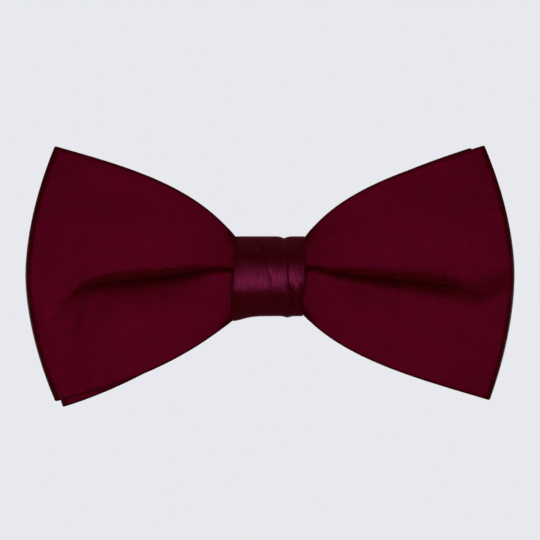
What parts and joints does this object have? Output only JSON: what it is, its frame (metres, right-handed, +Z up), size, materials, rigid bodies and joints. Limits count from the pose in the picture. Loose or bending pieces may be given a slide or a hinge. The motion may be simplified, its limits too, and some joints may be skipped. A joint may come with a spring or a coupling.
{
  "type": "clip-on bow tie",
  "caption": "Pre-tied butterfly bow tie in satin: two stacked fabric bows gathered under a pleated knot band, held to a shirt collar by sprung steel clips on a bar behind the knot.",
  "frame": {"origin": "middle of the flat back face of the knot band", "axes": "+X across the tie towards the viewer's right, +Y towards the back, into the shirt collar, +Z up; the front of the tie faces -Y"},
  "size_m": [0.12, 0.0204, 0.0638],
  "materials": {
    "wing_satin": "smooth burgundy satin",
    "knot_satin": "burgundy satin, drawn tight",
    "interlining": "woven wool and cotton interlining, undyed",
    "thread": "burgundy polyester sewing thread",
    "clip_steel": "nickel-plated pressed steel",
    "rivet_steel": "nickel-plated steel, headed",
    "spring_steel": "drawn spring wire"
  },
  "bodies": {
    "bow": {"front_bow": "wing_satin", "front_bow_interlining": "interlining", "front_bow_tack": "thread", "rear_bow": "wing_satin", "rear_bow_interlining": "interlining", "rear_bow_tack": "thread", "waist_thread": "thread", "knot_band": "knot_satin", "knot_interlining": "interlining", "knot_stitches": "thread", "clip_bar": "clip_steel", "left_clip_rivet": "rivet_steel", "left_fixed_jaw": "clip_steel", "left_hinge_pin": "rivet_steel", "left_jaw_spring": "spring_steel", "right_clip_rivet": "rivet_steel", "right_fixed_jaw": "clip_steel", "right_hinge_pin": "rivet_steel", "right_jaw_spring": "spring_steel"},
    "left_jaw": {"left_moving_jaw": "clip_steel"},
    "right_jaw": {"right_moving_jaw": "clip_steel"}
  },
  "joints": [
    {"name": "left_jaw_hinge", "type": "hinge", "parent": "bow", "child": "left_jaw", "pos_m": [-0.018, 0.0023, 0], "axis": [0, 0, -1], "range_deg": [0, 30], "stiffness_Nm_per_rad": 0.0745, "springref_deg": -51.57, "deforming": ["left_jaw_spring"]},
    {"name": "right_jaw_hinge", "type": "hinge", "parent": "bow", "child": "right_jaw", "pos_m": [0.018, 0.0023, 0], "axis": [0, 0, 1], "range_deg": [0, 30], "stiffness_Nm_per_rad": 0.0745, "springref_deg": -51.57, "deforming": ["right_jaw_spring"]}
  ]
}
